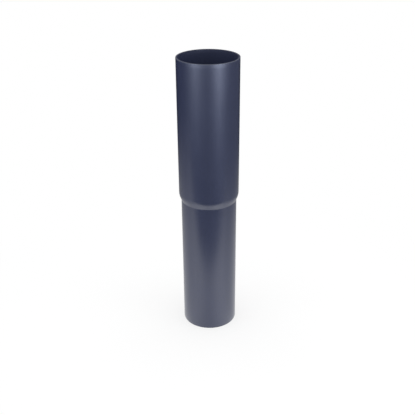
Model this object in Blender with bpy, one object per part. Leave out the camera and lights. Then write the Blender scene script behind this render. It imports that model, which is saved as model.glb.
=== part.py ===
"""A short length of round rainwater downpipe, moulded as one piece and open right through.

The lower half is plain pipe, the spigot, which stands in the socket of the pipe below. The upper
half is the same wall widened into a long socket, which takes the spigot of the pipe above. A cone
with rounded ends, the shoulder, joins the two and is the stop that an inserted pipe meets.

The axis of the pipe is Z. The origin is the centre of the spigot's square end, and +Z points up to
the socket's mouth. All lengths are in metres.
"""

import math

import bmesh
import bpy
from mathutils import Vector

# Sizes of the pipe
PIPE_OUTER_DIAMETER = 0.0800
WALL_THICKNESS = 0.0024
SPIGOT_LENGTH = 0.2028

# Sizes of the socket: its clearance is the gap all round an inserted pipe of the same diameter
SOCKET_CLEARANCE = 0.0008
SOCKET_DEPTH = 0.1952

# Sizes of the shoulder: its slope is measured from the axis, and both radii from the outer face
SHOULDER_SLOPE = math.radians(21.0)
SHOULDER_TOP_RADIUS = 0.0200
SHOULDER_NECK_RADIUS = 0.0020

# Radius that takes the sharpness off the sawn ends, inside and outside
END_EDGE_RADIUS = 0.0004

# Fineness of the surface: how many flats go round the pipe, and how far each flat of a rounding turns
FLAT_COUNT_AROUND = 96
FLAT_TURN_SHOULDER_TOP = math.radians(3.5)
FLAT_TURN_NECK = math.radians(10.5)
FLAT_TURN_END_EDGE = math.radians(45.0)

# Finish of the plastic: a dark blue-grey, satin, coloured all the way through
PIPE_COLOUR = (0.028, 0.036, 0.079, 1.0)
PIPE_ROUGHNESS = 0.30
SMOOTH_UP_TO = math.radians(30.0)

# Sizes that follow from those above
PIPE_RADIUS = PIPE_OUTER_DIAMETER / 2.0
SOCKET_RADIUS = PIPE_RADIUS + SOCKET_CLEARANCE + WALL_THICKNESS
SHOULDER_RISE = SOCKET_RADIUS - PIPE_RADIUS


def clear_scene():
    """Remove whatever the scene holds."""
    for thing in list(bpy.data.objects):
        bpy.data.objects.remove(thing, do_unlink=True)


def arc(centre, radius, start, end, flat_turn):
    """Points (r, z) along an arc, from one angle to another, both ends included."""
    flats = max(1, round(abs(end - start) / flat_turn))
    turns = (start + (end - start) * i / flats for i in range(flats + 1))
    return [(centre[0] + radius * math.cos(t), centre[1] + radius * math.sin(t)) for t in turns]


def shoulder_radii():
    """The two roundings of the shoulder's outer face, the top one no larger than the rise has room for."""
    room = SHOULDER_RISE / (1.0 - math.cos(SHOULDER_SLOPE))
    top = min(SHOULDER_TOP_RADIUS, room - SHOULDER_NECK_RADIUS)
    return top, SHOULDER_NECK_RADIUS


def shoulder_height():
    """Length of the shoulder along the axis: two roundings with a straight cone between them."""
    top, neck = shoulder_radii()
    rise_of_cone = SHOULDER_RISE - (top + neck) * (1.0 - math.cos(SHOULDER_SLOPE))
    return (top + neck) * math.sin(SHOULDER_SLOPE) + rise_of_cone / math.tan(SHOULDER_SLOPE)


def shoulder(depth):
    """Points of the shoulder, from the socket down to the pipe, at this depth under its outer face.

    The faces at every depth share the same two centres, so the wall keeps its thickness right
    through the bend: a hollow rounding grows with the depth, and a full one shrinks.
    """
    top, neck = shoulder_radii()
    top_centre = (SOCKET_RADIUS - top, SPIGOT_LENGTH + shoulder_height())
    neck_centre = (PIPE_RADIUS + neck, SPIGOT_LENGTH)
    upper = arc(top_centre, top - depth, 0.0, -SHOULDER_SLOPE, FLAT_TURN_SHOULDER_TOP)
    lower = arc(neck_centre, neck + depth, math.pi - SHOULDER_SLOPE, math.pi, FLAT_TURN_NECK)
    return upper + lower


def square_end(inner_radius, outer_radius, height, facing):
    """Points across a sawn end, from the bore to the outer face, with both edges rounded off.

    facing is +1 for an end that faces up and -1 for one that faces down.
    """
    edge = END_EDGE_RADIUS
    level = height - facing * edge
    quarter = facing * math.pi / 2.0
    inside = arc((inner_radius + edge, level), edge, facing * math.pi, quarter, FLAT_TURN_END_EDGE)
    outside = arc((outer_radius - edge, level), edge, quarter, 0.0, FLAT_TURN_END_EDGE)
    return inside + outside


def wall_section():
    """The closed outline of the wall, to one side of the axis, as points (r, z)."""
    mouth_height = SPIGOT_LENGTH + shoulder_height() + SOCKET_DEPTH
    mouth = square_end(SOCKET_RADIUS - WALL_THICKNESS, SOCKET_RADIUS, mouth_height, 1)
    foot = square_end(PIPE_RADIUS - WALL_THICKNESS, PIPE_RADIUS, 0.0, -1)
    outer_face = shoulder(0.0)
    bore = shoulder(WALL_THICKNESS)
    return mouth + outer_face + foot[::-1] + bore[::-1]


def plastic():
    """The satin plastic of the pipe."""
    material = bpy.data.materials.new("pipe_plastic")
    material.use_nodes = True
    shader = material.node_tree.nodes["Principled BSDF"]
    shader.inputs["Base Color"].default_value = PIPE_COLOUR
    shader.inputs["Roughness"].default_value = PIPE_ROUGHNESS
    shader.inputs["Metallic"].default_value = 0.0
    material.diffuse_color = PIPE_COLOUR
    return material


def spun_body(name, section, material):
    """Turn a closed section about the Z axis into one named solid."""
    work = bmesh.new()
    corners = [work.verts.new((radius, 0.0, height)) for radius, height in section]
    edges = [work.edges.new((a, b)) for a, b in zip(corners, corners[1:] + corners[:1])]
    bmesh.ops.spin(
        work,
        geom=corners + edges,
        cent=Vector((0.0, 0.0, 0.0)),
        axis=Vector((0.0, 0.0, 1.0)),
        angle=2.0 * math.pi,
        steps=FLAT_COUNT_AROUND,
        use_merge=True,
    )
    bmesh.ops.recalc_face_normals(work, faces=work.faces)
    mesh = bpy.data.meshes.new(name)
    work.to_mesh(mesh)
    work.free()
    mesh.materials.append(material)
    mesh.shade_smooth()
    mesh.set_sharp_from_angle(angle=SMOOTH_UP_TO)
    body = bpy.data.objects.new(name, mesh)
    bpy.context.scene.collection.objects.link(body)
    return body


def main():
    clear_scene()
    spun_body("downpipe", wall_section(), plastic())


main()
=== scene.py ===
# %% [markdown]
# # A rainwater downpipe with a long socket
#
# The object is one moulding of dark blue-grey plastic: a plain pipe below, and above it the same
# wall widened into a socket for the next pipe. It stands on its sawn lower end on a white floor,
# and the camera looks down on it. This lesson starts from the solid model of the pipe, replaces
# its faceted skin by a fine one, gives that skin the satin finish of extruded plastic, and lights
# it so that the wall shows its two soft streaks and the floor's glow.

import math

import bpy
import numpy as np
from mathutils import Matrix, Vector


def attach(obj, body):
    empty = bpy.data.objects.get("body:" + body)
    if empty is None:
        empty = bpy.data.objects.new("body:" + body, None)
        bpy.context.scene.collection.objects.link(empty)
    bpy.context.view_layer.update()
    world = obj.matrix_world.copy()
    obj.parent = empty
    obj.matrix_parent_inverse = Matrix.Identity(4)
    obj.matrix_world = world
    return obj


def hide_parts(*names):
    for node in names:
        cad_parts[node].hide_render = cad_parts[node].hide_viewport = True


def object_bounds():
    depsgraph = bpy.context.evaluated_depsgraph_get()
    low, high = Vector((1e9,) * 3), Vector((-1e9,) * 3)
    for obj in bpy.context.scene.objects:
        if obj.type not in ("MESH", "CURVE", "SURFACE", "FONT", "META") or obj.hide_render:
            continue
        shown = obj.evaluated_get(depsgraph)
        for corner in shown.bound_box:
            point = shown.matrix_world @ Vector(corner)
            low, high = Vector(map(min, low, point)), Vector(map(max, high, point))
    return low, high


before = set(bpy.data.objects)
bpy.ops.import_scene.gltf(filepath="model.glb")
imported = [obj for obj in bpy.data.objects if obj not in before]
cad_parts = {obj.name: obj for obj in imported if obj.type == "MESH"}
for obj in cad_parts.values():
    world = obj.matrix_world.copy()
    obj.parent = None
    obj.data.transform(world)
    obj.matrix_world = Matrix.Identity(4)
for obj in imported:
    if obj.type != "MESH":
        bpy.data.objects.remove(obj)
cad_low, cad_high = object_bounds()
print("solid model, lowest and highest corner in metres:", tuple(cad_low), tuple(cad_high))

# %% [markdown]
# ## The camera
#
# The photograph is square, 415 by 415 pixels. The outline of the pipe in it gives the camera: the
# socket's rim and the foot are ellipses, and how flat each one is says how steeply the camera
# looks down at that height. One pinhole camera fits all of it, on average to a sixth of a pixel. A
# camera object in Blender looks along its own -Z, so a turn of 90 degrees about X makes it look
# level along +Y.

# %% Place the camera
SENSOR_WIDTH_MM = 36.0
LENS_MM = 58.52
CAMERA_PLACE = (-0.0022, -0.8877, 0.6286)
CAMERA_LOOKS_DOWN = math.radians(26.43)
CAMERA_ROLL = math.radians(-0.487)
NEAREST_SEEN, FARTHEST_SEEN = 0.01, 60.0


def photo_camera():
    """A camera at the photograph's place, turned down, then rolled about its own line of sight."""
    camera = bpy.data.objects.new("photo_camera", bpy.data.cameras.new("photo_camera"))
    camera.data.sensor_width = SENSOR_WIDTH_MM
    camera.data.lens = LENS_MM
    camera.data.clip_start, camera.data.clip_end = NEAREST_SEEN, FARTHEST_SEEN
    camera.location = CAMERA_PLACE
    level = Matrix.Rotation(math.pi / 2 - CAMERA_LOOKS_DOWN, 3, "X")
    roll = Matrix.Rotation(CAMERA_ROLL, 3, "Z")
    camera.rotation_mode = "QUATERNION"
    camera.rotation_quaternion = (level @ roll).to_quaternion()
    return camera


camera = photo_camera()
bpy.context.scene.collection.objects.link(camera)
bpy.context.scene.camera = camera
print("camera looks down", round(math.degrees(CAMERA_LOOKS_DOWN), 2), "degrees")

# %% [markdown]
# ## The wall of the pipe
#
# A pipe is a wall carried round an axis, so all its shape is in the section of that wall. The
# socket is made on the real pipe by pushing the warm end over a mandrel: the wall opens as a cone,
# bends back to straight through a large radius, and keeps its thickness all the way. The section
# is worked out as straight runs and arcs. An arc at a depth under the outer face shares its centre
# with the arc of the outer face, and that is what keeps the wall even.

# %% Sizes of the pipe
PIPE_RADIUS = 0.0400
WALL = 0.0024
SOCKET_RADIUS = float(cad_high.x)
SPIGOT_LENGTH = 0.2028
SHOULDER_SLOPE = math.radians(21.0)
SHOULDER_TOP_RADIUS = 0.0200
SHOULDER_NECK_RADIUS = 0.0020
END_EDGE_RADIUS = 0.0004
LENGTH = float(cad_high.z)
SHOULDER_TOP_STEPS, SHOULDER_NECK_STEPS, EDGE_STEPS = 16, 8, 5


def arc(centre, radius, start, end, steps):
    """Points on an arc: centre + radius * (cos t, sin t), in equal steps of t from start to end."""
    t = np.linspace(start, end, steps + 1)
    return np.column_stack([centre[0] + radius * np.cos(t), centre[1] + radius * np.sin(t)])


def shoulder_height():
    """Height of two arcs that turn through the slope, with the cone that is left between them."""
    both = SHOULDER_TOP_RADIUS + SHOULDER_NECK_RADIUS
    cone_rise = SOCKET_RADIUS - PIPE_RADIUS - both * (1.0 - math.cos(SHOULDER_SLOPE))
    return both * math.sin(SHOULDER_SLOPE) + cone_rise / math.tan(SHOULDER_SLOPE)


def shoulder(depth):
    """The shoulder from the socket down to the pipe, at this depth under its outer face."""
    top_centre = (SOCKET_RADIUS - SHOULDER_TOP_RADIUS, SPIGOT_LENGTH + shoulder_height())
    neck_centre = (PIPE_RADIUS + SHOULDER_NECK_RADIUS, SPIGOT_LENGTH)
    upper = arc(top_centre, SHOULDER_TOP_RADIUS - depth, 0.0, -SHOULDER_SLOPE, SHOULDER_TOP_STEPS)
    neck = SHOULDER_NECK_RADIUS + depth
    lower = arc(neck_centre, neck, math.pi - SHOULDER_SLOPE, math.pi, SHOULDER_NECK_STEPS)
    return np.vstack([upper, lower])


def sawn_end(inner, outer, height, facing):
    """Across an end, from the bore to the outer face, both edges rounded: +1 faces up, -1 down."""
    edge = END_EDGE_RADIUS
    level = height - facing * edge
    quarter = facing * math.pi / 2
    inside = arc((inner + edge, level), edge, facing * math.pi, quarter, EDGE_STEPS)
    outside = arc((outer - edge, level), edge, quarter, 0.0, EDGE_STEPS)
    return np.vstack([inside, outside])


print("shoulder height in mm:", round(1000 * shoulder_height(), 2))

# %% [markdown]
# ## The fine skin
#
# The section is closed: across the mouth, down the outside, across the foot and up the bore. Long
# straight runs get extra points so that the faces stay near square. Turning the section about Z
# gives a grid of points, one index around and one along the section, and the faces join neighbours
# on that grid. Both directions close on themselves, so the skin has no seam and no poles.

# %% Build the skin
COLUMNS = 288
LONGEST_STEP = 0.0060


def filled(points):
    """The closed outline with each run longer than LONGEST_STEP cut into equal shorter ones."""
    ahead = np.roll(points, -1, axis=0)
    steps = np.linalg.norm(ahead - points, axis=1) / LONGEST_STEP
    parts = np.maximum(1, np.ceil(steps)).astype(int)
    start = np.repeat(np.arange(len(points)), parts)
    step = np.arange(len(start)) - np.repeat(np.cumsum(parts) - parts, parts)
    share = (step / parts[start])[:, None]
    return points[start] * (1.0 - share) + ahead[start] * share


def wall_section():
    """The closed outline of the wall, as points (radius, height)."""
    mouth = sawn_end(SOCKET_RADIUS - WALL, SOCKET_RADIUS, LENGTH, 1)
    foot = sawn_end(PIPE_RADIUS - WALL, PIPE_RADIUS, 0.0, -1)
    return filled(np.vstack([mouth, shoulder(0.0), foot[::-1], shoulder(WALL)[::-1]]))


def turned_grid(section):
    """Points of the section turned about Z: (r cos a, r sin a, z), and the quads between them."""
    angle = np.arange(COLUMNS) * 2.0 * math.pi / COLUMNS
    radius, height = section[:, 0], section[:, 1]
    x = np.cos(angle)[:, None] * radius
    y = np.sin(angle)[:, None] * radius
    z = np.broadcast_to(height, x.shape)
    points = np.stack([x, y, z], axis=-1).reshape(-1, 3)
    here = np.arange(len(points)).reshape(COLUMNS, len(section))
    along = np.roll(here, -1, axis=1)
    around = np.roll(here, -1, axis=0)
    both = np.roll(along, -1, axis=0)
    quads = np.stack([here, along, both, around], axis=-1).reshape(-1, 4)
    return points, quads


def skin_mesh(name):
    """The fine skin as one closed mesh."""
    points, quads = turned_grid(wall_section())
    mesh = bpy.data.meshes.new(name)
    mesh.from_pydata(points, [], quads)
    mesh.shade_smooth()
    mesh.update()
    return mesh


pipe = bpy.data.objects.new("downpipe_skin", skin_mesh("downpipe_skin"))
bpy.context.scene.collection.objects.link(pipe)
print("skin:", len(pipe.data.vertices), "points,", 2 * len(pipe.data.polygons), "triangles")

# %% [markdown]
# ## Building materials from nodes
#
# A material is a small network: textures and sums go in, and the sockets of one Principled shader
# take the results. A few short helpers keep the cells below easy to read: they add a node and set
# its values, do one step of arithmetic, make a smooth step, start a group, and place a group in a
# material. Every pattern is laid out on Object coordinates, which are metres on the pipe itself,
# so a scale of 1000 makes features of about a millimetre.

# %% Helpers for nodes
def add_node(tree, kind, settings=None, **values):
    """A new node: settings are its own options, and values are its input sockets by name."""
    node = tree.nodes.new(kind)
    for name, value in (settings or {}).items():
        setattr(node, name, value)
    for name, value in values.items():
        node.inputs[name.replace("_", " ")].default_value = value
    return node


def sum_node(tree, operation, first, second=0.0, third=0.0):
    """One step of arithmetic. Each term is a number or the output socket of another node."""
    node = add_node(tree, "ShaderNodeMath", {"operation": operation})
    for socket, term in zip(node.inputs, (first, second, third)):
        if isinstance(term, (int, float)):
            socket.default_value = term
        else:
            tree.links.new(term, socket)
    return node.outputs["Value"]


def smooth_fade(tree, value, start, end, low, high):
    """A smooth step from low to high while the value goes from start to end."""
    fade = add_node(tree, "ShaderNodeMapRange", {"interpolation_type": "SMOOTHSTEP"},
                    From_Min=start, From_Max=end, To_Min=low, To_Max=high)
    tree.links.new(value, fade.inputs["Value"])
    return fade.outputs["Result"]


def new_group(name, inputs, outputs):
    """An empty node group with these named inputs (type, value) and outputs (type)."""
    group = bpy.data.node_groups.new(name, "ShaderNodeTree")
    for label, (kind, value) in inputs.items():
        socket = group.interface.new_socket(label, in_out="INPUT", socket_type=kind)
        if value is not None:
            socket.default_value = value
    for label, kind in outputs.items():
        group.interface.new_socket(label, in_out="OUTPUT", socket_type=kind)
    return group, group.nodes.new("NodeGroupInput"), group.nodes.new("NodeGroupOutput")


def place_group(tree, group, vector, **values):
    """Put a group in a material, with the coordinates it works on and the values of its own."""
    node = add_node(tree, "ShaderNodeGroup", {"node_tree": group}, **values)
    tree.links.new(vector, node.inputs["Vector"])
    return node


print("helpers ready")

# %% [markdown]
# ## What the surface of an extruded pipe is like
#
# Three things happen to the plastic. The die draws faint lines along the pipe, about a millimetre
# apart and lower than a hair is thick. The cooling bath leaves a very fine unevenness, like the
# skin of an orange seen from afar. And the pigment and the gloss drift slowly along the run. Each
# one is a node group, because the skin, the bore and the sawn ends all need it, in different
# strengths.
#
# The die lines are a noise stretched along Z: squeezing the Z coordinate makes each grain of the
# noise tall and narrow, and that is a line. A second, broader noise gives streaks of duller
# plastic.

# %% Group: lines drawn by the die
FLOAT, VECTOR = "NodeSocketFloat", "NodeSocketVector"
BROAD_STREAK_SHARE = 0.16


def die_lines_group():
    """Height = noise(x, y, z * squeeze) at so many lines per metre, and Streak a broader one."""
    group, inlet, outlet = new_group(
        "die_lines",
        {"Vector": (VECTOR, None), "Lines per metre": (FLOAT, 900.0), "Squeeze": (FLOAT, 0.012)},
        {"Height": FLOAT, "Streak": FLOAT},
    )
    stretch = add_node(group, "ShaderNodeCombineXYZ", X=1.0, Y=1.0)
    group.links.new(inlet.outputs["Squeeze"], stretch.inputs["Z"])
    tall = add_node(group, "ShaderNodeVectorMath", {"operation": "MULTIPLY"})
    group.links.new(inlet.outputs["Vector"], tall.inputs[0])
    group.links.new(stretch.outputs["Vector"], tall.inputs[1])
    fine = add_node(group, "ShaderNodeTexNoise", Detail=3.0, Roughness=0.6)
    broad = add_node(group, "ShaderNodeTexNoise", Detail=2.0, Roughness=0.5)
    for noise, share in ((fine, 1.0), (broad, BROAD_STREAK_SHARE)):
        scale = sum_node(group, "MULTIPLY", inlet.outputs["Lines per metre"], share)
        group.links.new(scale, noise.inputs["Scale"])
        group.links.new(tall.outputs["Vector"], noise.inputs["Vector"])
    group.links.new(fine.outputs["Fac"], outlet.inputs["Height"])
    group.links.new(broad.outputs["Fac"], outlet.inputs["Streak"])
    return group


die_lines = die_lines_group()
print("group:", die_lines.name)

# %% [markdown]
# ## Cooling grain and drift
#
# The grain is a plain noise about half a millimetre across, so low that only the edge of a
# highlight shows it. The drift is a noise a few centimetres across. It is put out around zero, so
# a material adds it to a value and keeps the average.

# %% Groups: cooling grain and slow drift
def grain_group():
    """Height = noise at the given number of grains per metre."""
    group, inlet, outlet = new_group(
        "cooling_grain",
        {"Vector": (VECTOR, None), "Grains per metre": (FLOAT, 2200.0)},
        {"Height": FLOAT},
    )
    noise = add_node(group, "ShaderNodeTexNoise", Detail=2.0, Roughness=0.55)
    group.links.new(inlet.outputs["Vector"], noise.inputs["Vector"])
    group.links.new(inlet.outputs["Grains per metre"], noise.inputs["Scale"])
    group.links.new(noise.outputs["Fac"], outlet.inputs["Height"])
    return group


def drift_group():
    """Drift = 2 * noise - 1, from -1 to 1, at the given number of patches per metre."""
    group, inlet, outlet = new_group(
        "slow_drift",
        {"Vector": (VECTOR, None), "Patches per metre": (FLOAT, 30.0)},
        {"Drift": FLOAT},
    )
    noise = add_node(group, "ShaderNodeTexNoise", Detail=2.0, Roughness=0.5)
    group.links.new(inlet.outputs["Vector"], noise.inputs["Vector"])
    group.links.new(inlet.outputs["Patches per metre"], noise.inputs["Scale"])
    centred = sum_node(group, "MULTIPLY_ADD", noise.outputs["Fac"], 2.0, -1.0)
    group.links.new(centred, outlet.inputs["Drift"])
    return group


cooling_grain = grain_group()
slow_drift = drift_group()
print("groups:", cooling_grain.name, "and", slow_drift.name)

# %% [markdown]
# ## Painted edge highlights
#
# The outer corner of each sawn end gets a painted highlight: a line under a millimetre wide,
# lighter in colour and lower in roughness, that comes and goes, as the glint of the rounded edge.
# It could be painted on a picture wrapped round the pipe, but it is simpler to measure it: how far
# a point lies from the circle that is the corner. A noise moves that distance in and out and
# breaks the line up.

# %% Group: painted edge highlight
HIGHLIGHT_BREAKS_PER_METRE = 350.0
HIGHLIGHT_FULL, HIGHLIGHT_GONE = 0.35, 1.0


def painted_edge_highlight_group():
    """The painted highlight fades from 1 to 0 with sqrt((r - radius)^2 + (z - height)^2) / reach +
    breakup * noise.

    Here r is how far the point lies from the axis, sqrt(x^2 + y^2), and noise is around zero.
    """
    group, inlet, outlet = new_group(
        "painted_edge_highlight",
        {"Vector": (VECTOR, None), "Radius": (FLOAT, 0.04), "Height": (FLOAT, 0.0),
         "Reach": (FLOAT, 0.0006), "Breakup": (FLOAT, 0.6)},
        {"Painted_highlight": FLOAT},
    )
    apart = add_node(group, "ShaderNodeSeparateXYZ")
    group.links.new(inlet.outputs["Vector"], apart.inputs["Vector"])
    squares = sum_node(group, "MULTIPLY", apart.outputs["X"], apart.outputs["X"])
    squares = sum_node(group, "MULTIPLY_ADD", apart.outputs["Y"], apart.outputs["Y"], squares)
    from_axis = sum_node(group, "SQRT", squares)
    outwards = sum_node(group, "SUBTRACT", from_axis, inlet.outputs["Radius"])
    upwards = sum_node(group, "SUBTRACT", apart.outputs["Z"], inlet.outputs["Height"])
    squares = sum_node(group, "MULTIPLY", outwards, outwards)
    squares = sum_node(group, "MULTIPLY_ADD", upwards, upwards, squares)
    away = sum_node(group, "DIVIDE", sum_node(group, "SQRT", squares), inlet.outputs["Reach"])
    noise = add_node(group, "ShaderNodeTexNoise", Scale=HIGHLIGHT_BREAKS_PER_METRE, Detail=3.0)
    group.links.new(inlet.outputs["Vector"], noise.inputs["Vector"])
    patchy = sum_node(group, "SUBTRACT", noise.outputs["Fac"], 0.5)
    away = sum_node(group, "MULTIPLY_ADD", patchy, inlet.outputs["Breakup"], away)
    group.links.new(smooth_fade(group, away, HIGHLIGHT_FULL, HIGHLIGHT_GONE, 1.0, 0.0), outlet.inputs["Painted_highlight"])
    return group


painted_edge_highlight = painted_edge_highlight_group()
print("group:", painted_edge_highlight.name)

# %% [markdown]
# ## The satin plastic
#
# The pigment goes right through the wall, so the skin, the bore and the sawn ends share one
# colour. What changes is how the surface breaks up the light. The skin touched a polished die and
# is satin. The bore cooled in air and is duller. The saw tore the ends, so they are the dullest,
# and their lines run across the face instead of along the pipe: the same group of lines is turned
# a quarter about Y. Their colour is also made darker, as painted shade. One function builds all
# three. Colour and roughness swing a little around their averages. Where the skin and the ends
# meet at the outer corners, a thin line is lighter and smoother, as a painted highlight; the bore
# has none. The heights of lines and grain meet in a Bump node, in millimetres.

# %% Finish of the plastic
PLASTIC_COLOUR = (0.0289, 0.0368, 0.0805)
PLASTIC_IOR = 1.54
COLOUR_SWING = 0.06
GLOSS_SWING = 0.03
# A lighter colour and a lower roughness on a thin line along the outer corners: a painted
# highlight.
PAINTED_HIGHLIGHT_COLOUR, HIGHLIGHT_LINE_SMOOTHER = (0.034, 0.038, 0.042), 0.10
HIGHLIGHT_LINE_INSET = 0.0003
MILLIMETRE = 0.001
ACROSS_THE_FACE = (0.0, math.pi / 2.0, 0.0)


def tinted(tree, colour, factor):
    """Base colour = colour * factor, as a vector socket."""
    scale = add_node(tree, "ShaderNodeVectorMath", {"operation": "SCALE"})
    scale.inputs[0].default_value = colour
    tree.links.new(factor, scale.inputs["Scale"])
    return scale.outputs["Vector"]


def with_painted_highlight(tree, colour, painted_line):
    """colour + painted highlight * its added colour, as a vector socket."""
    add = add_node(tree, "ShaderNodeVectorMath", {"operation": "MULTIPLY_ADD"})
    tree.links.new(painted_line, add.inputs[0])
    add.inputs[1].default_value = PAINTED_HIGHLIGHT_COLOUR
    tree.links.new(colour, add.inputs[2])
    return add.outputs["Vector"]


def corner_highlights(tree, place):
    """The larger of the painted highlights at the outer corner of the mouth and of the foot."""
    mouth = place_group(tree, painted_edge_highlight, place, Radius=SOCKET_RADIUS, Height=LENGTH - HIGHLIGHT_LINE_INSET)
    foot = place_group(tree, painted_edge_highlight, place, Radius=PIPE_RADIUS, Height=HIGHLIGHT_LINE_INSET)
    return sum_node(tree, "MAXIMUM", mouth.outputs["Painted_highlight"], foot.outputs["Painted_highlight"])


def line_height_on(tree, place, turn):
    """Height and streak of the lines, drawn along the pipe or turned to run across its end."""
    if turn is None:
        return place_group(tree, die_lines, place)
    turned = add_node(tree, "ShaderNodeMapping", Rotation=turn)
    tree.links.new(place, turned.inputs["Vector"])
    return place_group(tree, die_lines, turned.outputs["Vector"])


def plastic_finish(name, roughness, line_height, grain_height, lightness=1.0, turn=None,
                   has_corner=True):
    """The blue-grey plastic with this roughness, and lines and grain this many millimetres high."""
    material = bpy.data.materials.new(name)
    material.use_nodes = True
    tree = material.node_tree
    shader = tree.nodes["Principled BSDF"]
    shader.inputs["IOR"].default_value = PLASTIC_IOR
    place = add_node(tree, "ShaderNodeTexCoord").outputs["Object"]
    lines = line_height_on(tree, place, turn)
    grain = place_group(tree, cooling_grain, place)
    drift = place_group(tree, slow_drift, place).outputs["Drift"]
    factor = sum_node(tree, "MULTIPLY_ADD", drift, COLOUR_SWING, lightness)
    colour = tinted(tree, PLASTIC_COLOUR, factor)
    uneven = sum_node(tree, "MULTIPLY_ADD", lines.outputs["Streak"], 2.0, -1.0)
    uneven = sum_node(tree, "ADD", drift, uneven)
    gloss = sum_node(tree, "MULTIPLY_ADD", uneven, GLOSS_SWING, roughness)
    # The outer corners get a painted highlight: a lighter colour and a lower roughness on a thin
    # line.
    if has_corner:
        painted_line = corner_highlights(tree, place)
        colour = with_painted_highlight(tree, colour, painted_line)
        gloss = sum_node(tree, "MULTIPLY_ADD", painted_line, -HIGHLIGHT_LINE_SMOOTHER, gloss)
    tree.links.new(colour, shader.inputs["Base Color"])
    tree.links.new(gloss, shader.inputs["Roughness"])
    height = sum_node(tree, "MULTIPLY", lines.outputs["Height"], line_height)
    height = sum_node(tree, "MULTIPLY_ADD", grain.outputs["Height"], grain_height, height)
    bump = add_node(tree, "ShaderNodeBump", Strength=1.0, Distance=MILLIMETRE)
    tree.links.new(height, bump.inputs["Height"])
    tree.links.new(bump.outputs["Normal"], shader.inputs["Normal"])
    return material


finishes = [
    plastic_finish("satin_skin", roughness=0.30, line_height=0.0180, grain_height=0.0030),
    plastic_finish("dull_bore", roughness=0.42, line_height=0.0030, grain_height=0.0010,
                   has_corner=False),
    # The sawn ends get 0.65 of the plastic's colour: painted shade on their faces.
    plastic_finish("sawn_end", roughness=0.75, line_height=0.0200, grain_height=0.0060,
                   lightness=0.65, turn=ACROSS_THE_FACE),
]
print("finishes:", ", ".join(finish.name for finish in finishes))

# %% [markdown]
# ## Which face gets which finish
#
# The section runs down the outside and up the bore, so the way a face goes says what it is: down
# is the skin, up is the bore, and whatever lies within the rounded edge of an end is sawn. The
# same choice holds all round the pipe, so it is made once along the section and repeated.

# %% Share out the finishes
SKIN, BORE, SAWN = 0, 1, 2


def finish_of_each_ring(section):
    """The place in finishes: skin where the section goes down, bore where it goes up, or sawn."""
    height = section[:, 1]
    ahead = np.roll(height, -1)
    middle = (height + ahead) / 2.0
    kind = np.where(ahead < height, SKIN, BORE)
    sawn = (middle > LENGTH - END_EDGE_RADIUS) | (middle < END_EDGE_RADIUS)
    return np.where(sawn, SAWN, kind)


rings = finish_of_each_ring(wall_section())
for finish in finishes:
    pipe.data.materials.append(finish)
pipe.data.polygons.foreach_set("material_index", np.tile(rings, COLUMNS).astype(np.int32))
pipe.data.update()
print("rings of skin, bore and sawn end:", np.bincount(rings).tolist())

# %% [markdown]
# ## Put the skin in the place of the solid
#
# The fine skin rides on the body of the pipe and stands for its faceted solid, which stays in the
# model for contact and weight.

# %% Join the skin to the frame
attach(pipe, "root")
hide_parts("downpipe")
print("skin stands for the solid downpipe")

# %% [markdown]
# ## What the plastic mirrors
#
# The wall is satin, so most of what it shows is its surroundings, softened. In the photograph its
# upper half is dark between two light streaks, and its lower half is lighter all round. That says
# what stood there: a white table top that ends a quarter of a metre before the pipe and grows dim
# to the sides and the back, in a dark room with a soft box on either side. The table gleams
# towards the boxes and behind the pipe, and the room's floor is lit in front of the boxes. The
# camera sees none of that, only white. So the glow is written as a function of the place on the
# floor, and only mirrored rays will find it: level * (1 + gleams) on the table, and the room's
# gleams and the lit floor off it. A gleam is an azimuth, a strength and a width. The boxes shine a
# cool daylight white.

# %% Glow of the surroundings
BOX_WHITE = (0.74, 0.81, 0.99)
TABLE_FRONT = -0.252
TABLE_EDGES = (
    ("X", -1.08, -0.08), ("X", 0.695, 0.097), ("Y", TABLE_FRONT, -0.205), ("Y", 0.82, -0.37),
)
TABLE_GLOW = 1.555
TABLE_GLEAMS = ((-40.5, 0.375, 51.6), (38.5, 0.518, 51.6), (180.0, 1.0, 45.0))
ROOM_GLEAMS = ((90.0, 0.18, 90.0), (0.0, 0.12, 40.0))
LIT_FLOOR_GLEAMS = ((-40.5, 2.90, 56.0), (38.5, 3.50, 56.0))
LIT_FLOOR_FROM, LIT_FLOOR_TO = 1.37, 1.775


def length_of(tree, vector):
    """Length of a vector socket."""
    node = add_node(tree, "ShaderNodeVectorMath", {"operation": "LENGTH"})
    tree.links.new(vector, node.inputs[0])
    return node.outputs["Value"]


def dot_with(tree, vector, fixed):
    """Dot product of a vector socket with a fixed vector."""
    node = add_node(tree, "ShaderNodeVectorMath", {"operation": "DOT_PRODUCT"})
    node.inputs[1].default_value = fixed
    tree.links.new(vector, node.inputs[0])
    return node.outputs["Value"]


def towards(tree, way, azimuth, width):
    """1 where the way from the pipe points at this azimuth, fading to 0 this many degrees round."""
    a = math.radians(azimuth)
    angle = sum_node(tree, "ARCCOSINE", dot_with(tree, way, (math.sin(a), -math.cos(a), 0.0)))
    return smooth_fade(tree, angle, 0.0, math.radians(width), 1.0, 0.0)


def table_share(tree, place):
    """1 on the table and 0 off it: the product of a smooth step over each of its four edges.

    An edge is an axis, where the table is gone, and where it is there in full.
    """
    apart = add_node(tree, "ShaderNodeSeparateXYZ")
    tree.links.new(place, apart.inputs["Vector"])
    share = 1.0
    for axis, gone, full in TABLE_EDGES:
        step = smooth_fade(tree, apart.outputs[axis], gone, full, 0.0, 1.0)
        share = sum_node(tree, "MULTIPLY", step, share)
    return share


def sum_of_gleams(tree, way, gleams, start):
    """start + the sum of strength * towards(azimuth, width) over the gleams."""
    level = start
    for azimuth, strength, width in gleams:
        level = sum_node(tree, "MULTIPLY_ADD", towards(tree, way, azimuth, width), strength, level)
    return level


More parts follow.
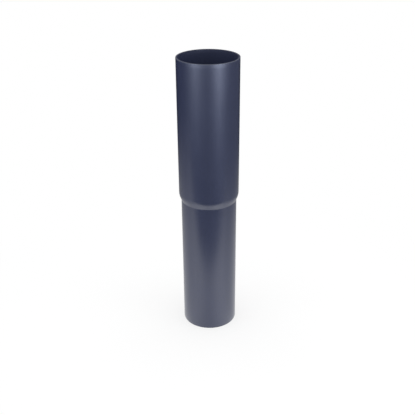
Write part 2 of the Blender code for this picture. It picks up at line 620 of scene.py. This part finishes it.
def surroundings(tree, place):
    """The white glow of the table and the dim room, and the cool glow in front of the boxes."""
    unit = add_node(tree, "ShaderNodeVectorMath", {"operation": "NORMALIZE"})
    tree.links.new(place, unit.inputs[0])
    way = unit.outputs["Vector"]
    on_table = table_share(tree, place)
    off_table = sum_node(tree, "SUBTRACT", 1.0, on_table)
    table = sum_of_gleams(tree, way, TABLE_GLEAMS, 1.0)
    table = sum_node(tree, "MULTIPLY", sum_node(tree, "MULTIPLY", table, TABLE_GLOW), on_table)
    room = sum_of_gleams(tree, way, ROOM_GLEAMS, 0.0)
    white = sum_node(tree, "MULTIPLY_ADD", room, off_table, table)
    lit = smooth_fade(tree, length_of(tree, place), LIT_FLOOR_FROM, LIT_FLOOR_TO, 0.0, 1.0)
    cool = sum_of_gleams(tree, way, LIT_FLOOR_GLEAMS, 0.0)
    return white, sum_node(tree, "MULTIPLY", cool, sum_node(tree, "MULTIPLY", lit, off_table))


print("the table ends", -TABLE_FRONT, "metres before the pipe")

# %% [markdown]
# ## The white floor
#
# The floor is a pale sheet lit by the lamps, so the pipe's soft shadow stays on it near the foot.
# For the camera it fades to even white a little further off, as the photograph's ground does.
# Light Path tells the rays apart: one from the camera finds that white, one that comes from a
# mirror or through glass finds the glow above, and every other ray finds the lit sheet. From below
# the floor is clear, so that the foot can be looked at.

# %% Floor
FLOOR_HALF = 8.0
FLOOR_DROP = 0.0002
FLOOR_COLOUR = (0.90, 0.90, 0.90, 1.0)
FLOOR_ROUGHNESS = 0.9
GROUND_WHITE_FROM, GROUND_WHITE_TO, GROUND_WHITE_NEAR = 0.06, 0.45, 0.70
EVEN_WHITE = (1.0, 1.0, 1.0)


def emission(tree, strength, colour):
    """An emitter of this colour and strength, as a shader socket."""
    glow = add_node(tree, "ShaderNodeEmission", Color=(*colour, 1.0))
    tree.links.new(strength, glow.inputs["Strength"])
    return glow.outputs["Emission"]


def mixed(tree, share, first, second):
    """Shader first * (1 - share) + second * share."""
    mix = add_node(tree, "ShaderNodeMixShader")
    for socket, source in zip(mix.inputs, (share, first, second)):
        tree.links.new(source, socket)
    return mix.outputs["Shader"]


def floor_material():
    """Lit pale floor, white for the camera further off, glowing for mirrored rays."""
    material = bpy.data.materials.new("white_floor")
    material.use_nodes = True
    tree = material.node_tree
    shader = tree.nodes["Principled BSDF"]
    shader.inputs["Base Color"].default_value = FLOOR_COLOUR
    shader.inputs["Roughness"].default_value = FLOOR_ROUGHNESS
    shader.inputs["Specular IOR Level"].default_value = 0.0
    place = add_node(tree, "ShaderNodeTexCoord").outputs["Object"]
    path = add_node(tree, "ShaderNodeLightPath").outputs
    camera_ray = path["Is Camera Ray"]
    mirrored = sum_node(tree, "MAXIMUM", path["Is Glossy Ray"], path["Is Transmission Ray"])
    white, cool = surroundings(tree, place)
    white = sum_node(tree, "MULTIPLY_ADD", mirrored, white, camera_ray)
    white = emission(tree, white, EVEN_WHITE)
    cool = emission(tree, sum_node(tree, "MULTIPLY", mirrored, cool), BOX_WHITE)
    glow = add_node(tree, "ShaderNodeAddShader")
    tree.links.new(white, glow.inputs[0])
    tree.links.new(cool, glow.inputs[1])
    away = length_of(tree, place)
    far = smooth_fade(tree, away, GROUND_WHITE_FROM, GROUND_WHITE_TO, GROUND_WHITE_NEAR, 1.0)
    share = sum_node(tree, "MULTIPLY_ADD", camera_ray, far, mirrored)
    from_above = mixed(tree, share, shader.outputs["BSDF"], glow.outputs["Shader"])
    clear = add_node(tree, "ShaderNodeBsdfTransparent").outputs["BSDF"]
    below = add_node(tree, "ShaderNodeNewGeometry").outputs["Backfacing"]
    surface = mixed(tree, below, from_above, clear)
    tree.links.new(surface, tree.nodes["Material Output"].inputs["Surface"])
    return material


def floor_sheet():
    """A square floor, two tenths of a millimetre under the pipe so that the two never coincide."""
    mesh = bpy.data.meshes.new("floor")
    h, z = FLOOR_HALF, -FLOOR_DROP
    mesh.from_pydata([(-h, -h, z), (h, -h, z), (h, h, z), (-h, h, z)], [], [(0, 1, 2, 3)])
    mesh.materials.append(floor_material())
    floor = bpy.data.objects.new("floor", mesh)
    bpy.context.scene.collection.objects.link(floor)
    return floor


floor_sheet()
print("floor", 2 * FLOOR_HALF, "metres across")

# %% [markdown]
# ## The lamps
#
# Two kinds of lamp do two kinds of work. A wide lamp overhead and two weak ones at the sides give
# the plastic its colour, with the room of the next cell. Two soft boxes only show in the gloss:
# they make the streaks below the socket's rim. They stand on the floor, and the lower wall doesn't
# show them, because it mirrors the table. Each box is brighter in the middle, as a real one is
# over its bulb, so it is a wide panel with a narrow one just in front: that gives the streaks
# their soft flanks. A photographer places such boxes by looking at the streaks, and these were
# placed to match them. A rectangle of radiance L and area A shines L * A * pi watts.

# %% Lamps
BOX_DISTANCE, MIDDLE_DISTANCE = 1.63, 1.59
TOP_LAMP_HEIGHT, TOP_LAMP_SIZE, TOP_LAMP_WATTS = 2.2, 1.6, 18.6
SIDE_LAMP_DISTANCE, SIDE_LAMP_HEIGHT, SIDE_LAMP_SIZE = 1.8, 1.1, 1.0
MIDDLE_OF_PIPE = (0.0, 0.0, 0.2)


def facing(place, target):
    """The turn that makes a lamp at a place shine at a target."""
    return (Vector(target) - Vector(place)).to_track_quat("-Z", "Y")


def soft_lamp(name, place, target, size, watts, colour=EVEN_WHITE):
    """A rectangular lamp, hidden from the camera."""
    data = bpy.data.lights.new(name, "AREA")
    data.shape = "RECTANGLE"
    data.size, data.size_y = size
    data.energy = watts
    data.color = colour
    lamp = bpy.data.objects.new(name, data)
    lamp.location = place
    lamp.rotation_mode = "QUATERNION"
    lamp.rotation_quaternion = facing(place, target)
    lamp.visible_camera = False
    bpy.context.scene.collection.objects.link(lamp)
    return lamp


def around(azimuth, distance, height):
    """A place round the pipe: azimuth 0 is towards the camera, positive to its right."""
    a = math.radians(azimuth)
    return (distance * math.sin(a), -distance * math.cos(a), height)


def box_panel(name, azimuth, distance, spread, height, radiance):
    """A panel that stands on the floor, spans so many degrees and shows only in the gloss."""
    width = 2.0 * distance * math.tan(math.radians(spread / 2.0))
    watts = math.pi * width * height * radiance
    place = around(azimuth, distance, height / 2.0)
    box = soft_lamp(name, place, (0.0, 0.0, height / 2.0), (width, height), watts, BOX_WHITE)
    box.visible_diffuse = False
    print(name, "width", round(width, 2), "radiance", radiance, "power in watts", round(watts, 2))


def side_lamp(name, azimuth, watts):
    """A weak square lamp at the side, which colours the plastic and doesn't show in its gloss."""
    place = around(azimuth, SIDE_LAMP_DISTANCE, SIDE_LAMP_HEIGHT)
    lamp = soft_lamp(name, place, MIDDLE_OF_PIPE, (SIDE_LAMP_SIZE, SIDE_LAMP_SIZE), watts)
    lamp.visible_glossy = False


box_panel("left_box", -45.0, BOX_DISTANCE, spread=60.0, height=0.46, radiance=0.73)
box_panel("left_middle", -45.0, MIDDLE_DISTANCE, spread=30.0, height=0.46, radiance=1.93)
box_panel("right_box", 37.5, BOX_DISTANCE, spread=45.0, height=0.56, radiance=2.69)
box_panel("right_middle", 37.5, MIDDLE_DISTANCE, spread=15.0, height=0.56, radiance=3.49)
side_lamp("left_side_lamp", -70.0, 2.6)
side_lamp("right_side_lamp", 70.0, 4.7)
top = (0.0, 0.0, TOP_LAMP_HEIGHT)
soft_lamp("top_lamp", top, (0.0, 0.0, 0.0), (TOP_LAMP_SIZE, TOP_LAMP_SIZE), TOP_LAMP_WATTS)

# %% [markdown]
# ## The room
#
# The world fills the shadows with an even white, a little under full. A camera ray finds full
# white there, so the picture has no horizon. A mirrored ray finds the level of a bright room.

# %% World and colour management
ROOM_FOR_SHADOWS = 0.77
ROOM_FOR_MIRRORS = 0.75
ROOM_FOR_CAMERA = 1.0


def studio_world():
    """Strength = shadows level, changed to the mirror or the camera level for those rays."""
    world = bpy.data.worlds.new("studio")
    world.use_nodes = True
    tree = world.node_tree
    background = tree.nodes["Background"]
    background.inputs["Color"].default_value = (*EVEN_WHITE, 1.0)
    path = add_node(tree, "ShaderNodeLightPath").outputs
    mirrored = sum_node(tree, "MAXIMUM", path["Is Glossy Ray"], path["Is Transmission Ray"])
    to_mirrors = ROOM_FOR_MIRRORS - ROOM_FOR_SHADOWS
    to_camera = ROOM_FOR_CAMERA - ROOM_FOR_SHADOWS
    level = sum_node(tree, "MULTIPLY_ADD", mirrored, to_mirrors, ROOM_FOR_SHADOWS)
    level = sum_node(tree, "MULTIPLY_ADD", path["Is Camera Ray"], to_camera, level)
    tree.links.new(level, background.inputs["Strength"])
    bpy.context.scene.world = world


studio_world()
bpy.context.scene.view_settings.view_transform = "Standard"
print("lamps:", len(bpy.data.lights))
